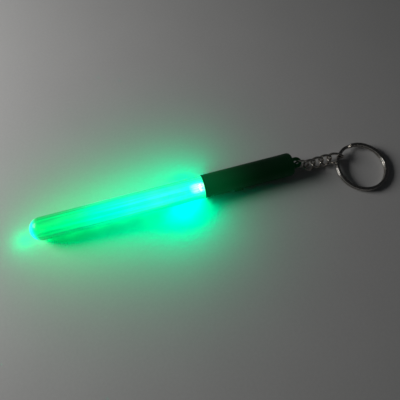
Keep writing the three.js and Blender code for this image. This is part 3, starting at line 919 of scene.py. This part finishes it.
def make_link(node, place, twist):
    """A curb link, hooked round an upright wire at x = 0 and twisted from its start to its end."""
    low, high = measure(node, place)
    hook = -low.x - LINK_WIRE
    half_length = (high.x - low.x) / 2 - LINK_WIRE
    count = 128
    points = []
    for step in range(count):
        angle = FULL_TURN * step / count
        along = bulge(math.cos(angle))
        across = bulge(math.sin(angle)) * LINK_HALF_WIDTH
        turn = math.radians(twist[0] + (twist[1] - twist[0]) * (1 + along) / 2)
        x = half_length * (1 + along) - hook
        points.append(Vector((x, across * math.cos(turn), across * math.sin(turn))))
    piece = sweep(node + "_wire", points, round_section(LINK_WIRE, 20), place, closed=True)
    return stands_for(piece, node)


def make_key_ring():
    """Two turns of flat wire. It climbs from the lower coil to the upper one at one crossing."""
    low, high = measure("key_ring", KEY_RING)
    width = 1.5 * MM
    height = 1.05 * MM
    inset = 0.01 * MM  # the CAD ring is a polygon, and a round one has to stay inside it
    radius = (high.y - low.y - width) / 2 - inset
    climb = high.z - low.z - height
    crossing = math.radians(145)
    half_crossing = math.radians(13)
    count = 480
    points = []
    for step in range(count + 1):
        travelled = half_crossing + (2 * FULL_TURN - 2 * half_crossing) * step / count
        share = (travelled - FULL_TURN + half_crossing) / (2 * half_crossing)
        share = min(1.0, max(0.0, share))
        rise = share * share * (3 - 2 * share)
        angle = crossing + travelled
        x = radius * (1 + math.cos(angle))
        points.append(Vector((x, radius * math.sin(angle), climb * (rise - 0.5))))
    section = flat_section(width, height, 0.3 * MM)
    piece = sweep("key_ring_wire", points, section, KEY_RING, level=True, end_radius=0.12 * MM)
    return stands_for(piece, "key_ring")


# ---- Cells, contacts, board and switch, hidden in the handle

def make_spring():
    """A conical spring, narrow at the cell and wide at the cap."""
    low, high = measure("contact_spring", STICK)
    wire = 0.2 * MM
    turns = 3.5
    narrow = 1.2 * MM
    wide = high.z - wire
    count = 200
    points = []
    for step in range(count + 1):
        share = step / count
        angle = FULL_TURN * turns * share
        radius = narrow + (wide - narrow) * share
        x = low.x + wire + (high.x - low.x - 2 * wire) * share
        points.append(Vector((x, radius * math.cos(angle), radius * math.sin(angle))))
    piece = sweep("spring_wire", points, round_section(wire, 12), STICK, end_radius=0.05 * MM)
    return stands_for(piece, "contact_spring")


def make_internals():
    """The pieces that keep their CAD shape, with softened edges."""
    made = {"light_tube", "led_body", "front_collar", "handle_barrel", "push_button", "end_cap"}
    made |= {"jump_ring", "key_ring", "contact_spring"}
    made |= {f"chain_link_{i + 1}" for i in range(LINK_COUNT)}
    for node in sorted(set(frame["nodes"]) - made):
        stands_for(refined(node, 0.05 * MM), node)


def make_chain():
    """The links from the jump ring to the key ring. The last is twisted further."""
    for i, place in enumerate(LINKS):
        last = i == LINK_COUNT - 1
        make_link(f"chain_link_{i + 1}", place, LAST_LINK_TWIST if last else LINK_TWIST)


make_tube()
make_led()
make_collar()
make_barrel()
make_button()
make_cap()
make_jump_ring()
make_chain()
make_key_ring()
make_spring()
make_internals()

for node, cad in frame["nodes"].items():
    cad.data.materials.clear()
    cad.data.materials.append(finish_of(node))


# ---- Floor, lights and camera

def make_floor():
    """A plain pale table top with a faint mottle."""
    graph = Graph("table_top")
    fleck = graph.noise(1.2 * MM, 3)
    cloud = graph.noise(30 * MM, 2)
    grain = graph.mapped(fleck, 0, 1, 0.56, 0.62)
    mottle = graph.mapped(cloud, 0, 1, -0.02, 0.02)
    shade = graph.maths("ADD", grain, mottle)
    colour = graph.add("ShaderNodeCombineColor")
    for socket in colour.inputs:
        graph.put(socket, shade)
    graph.set(Base_Color=colour.outputs[0], Roughness=0.55)
    graph.surface.inputs["Specular IOR Level"].default_value = 0.3
    graph.bump(fleck, 0.03 * MM, 0.2)
    shape = bmesh.new()
    bmesh.ops.create_grid(shape, x_segments=1, y_segments=1, size=1.5)
    just_below = Matrix.Translation((0, 0, -0.02 * MM))
    floor = new_piece("floor", shape, just_below)
    floor.data.materials.append(graph.material)


def glow_colour(light, red, green, blue):
    """Gives a lamp its colour by nodes, which may set red below zero."""
    light.use_nodes = True
    tree = light.node_tree
    emission = tree.nodes["Emission"]
    colour = tree.nodes.new("ShaderNodeCombineColor")
    negative = tree.nodes.new("ShaderNodeMath")
    negative.operation = "MULTIPLY"
    negative.inputs[0].default_value = abs(red)
    negative.inputs[1].default_value = math.copysign(1, red)
    tree.links.new(negative.outputs[0], colour.inputs[0])
    colour.inputs[1].default_value = green
    colour.inputs[2].default_value = blue
    tree.links.new(colour.outputs[0], emission.inputs["Color"])


def fade_away(light, near, far):
    """Fades a lamp's light to nothing between two distances from it."""
    tree = light.node_tree
    path = tree.nodes.new("ShaderNodeLightPath")
    fade = tree.nodes.new("ShaderNodeMapRange")
    fade.interpolation_type = "SMOOTHSTEP"
    for socket, value in (("From Min", near), ("From Max", far), ("To Min", 1), ("To Max", 0)):
        fade.inputs[socket].default_value = value
    tree.links.new(path.outputs["Ray Length"], fade.inputs["Value"])
    tree.links.new(fade.outputs["Result"], tree.nodes["Emission"].inputs["Strength"])


# The LED's green lies outside a screen's range of colours, so its red is a little below zero.
LAMP_RED = -0.17
LAMP_FADE = (15 * MM, 95 * MM)
LAMP_RADIUS = 3 * MM


def make_lamp(name, place, power, blue, radius=LAMP_RADIUS):
    """A small round lamp of the LED's colour, placed in the stick's frame."""
    light = bpy.data.lights.new(name, "POINT")
    light.energy = power
    light.shadow_soft_size = radius
    glow_colour(light, LAMP_RED, 1.0, blue)
    fade_away(light, *LAMP_FADE)
    lamp = bpy.data.objects.new(name, light)
    lamp.location = STICK @ Vector(place)
    lamp.visible_camera = False
    lamp.visible_glossy = False
    bpy.context.scene.collection.objects.link(lamp)


def light_the_table():
    """Lamps in and over the tube cast its glow on the table, weaker and greener to the tip.

    One lamp stands for the LED, one beside the tube widens the pool of light on the near
    side, and one past the dome throws the streak ahead of it.
    """
    count = 7
    halo_height = 9 * MM
    for i in range(count):
        share = (i + 0.5) / count
        x = -TUBE_LENGTH * share
        blue = 0.36 - 0.22 * share
        make_lamp(f"tube_lamp_{i}", (x, 0, 0), 0.0124 * (1 - 0.22 * share), blue)
        halo_power = 0.0098 * (1 - 0.8 * share)
        make_lamp(f"halo_lamp_{i}", (x, 0, halo_height), halo_power, blue, radius=4 * MM)
    make_lamp("led_lamp", (-5 * MM, 0, 0), 0.03, 0.4)
    make_lamp("pool_lamp", (-12 * MM, -4.5 * MM, 2 * MM), 0.021, 0.38)
    make_lamp("tip_lamp", (-TUBE_LENGTH - 5 * MM, -1 * MM, 0), 0.0021, 0.27)


WINDOW_OFFSET = Vector((-0.318, 0.13, 0.17))  # from the table under the rim


def make_room_light():
    """One soft window to the left, low enough to draw shadows out to the right, in a dim room."""
    light = bpy.data.lights.new("window", "AREA")
    light.shape = "SQUARE"
    light.size = 0.18
    light.energy = 0.86
    light.color = (1.0, 0.99, 0.97)
    window = bpy.data.objects.new("window", light)
    target = Vector((rim.x, rim.y, 0))
    window.location = target + WINDOW_OFFSET
    window.rotation_euler = (target - window.location).to_track_quat("-Z", "Y").to_euler()
    bpy.context.scene.collection.objects.link(window)
    world = bpy.data.worlds.new("room")
    bpy.context.scene.world = world
    world.use_nodes = True
    background = world.node_tree.nodes["Background"]
    background.inputs["Color"].default_value = (0.9, 0.95, 1.0, 1)
    background.inputs["Strength"].default_value = 0.0165


def make_camera():
    """A 36 mm camera above the near side, aimed at the table just short of the handle's rim."""
    azimuth = math.radians(-16.03)
    elevation = math.radians(66.5)
    distance = 0.185
    aim = Vector((-2.49, -3.77, 0)) * MM  # from the table under the rim
    back = Vector((
        math.sin(azimuth) * math.cos(elevation),
        -math.cos(azimuth) * math.cos(elevation),
        math.sin(elevation),
    ))
    target = Vector((rim.x, rim.y, 0)) + aim
    data = bpy.data.cameras.new("camera")
    data.lens = 36
    data.sensor_width = 36
    data.clip_start = 0.005
    camera = bpy.data.objects.new("camera", data)
    camera.location = target + back * distance
    camera.rotation_euler = (-back).to_track_quat("-Z", "Y").to_euler()
    bpy.context.scene.collection.objects.link(camera)
    bpy.context.scene.camera = camera


make_floor()
light_the_table()
make_room_light()
make_camera()
bpy.context.scene.view_settings.view_transform = "Standard"
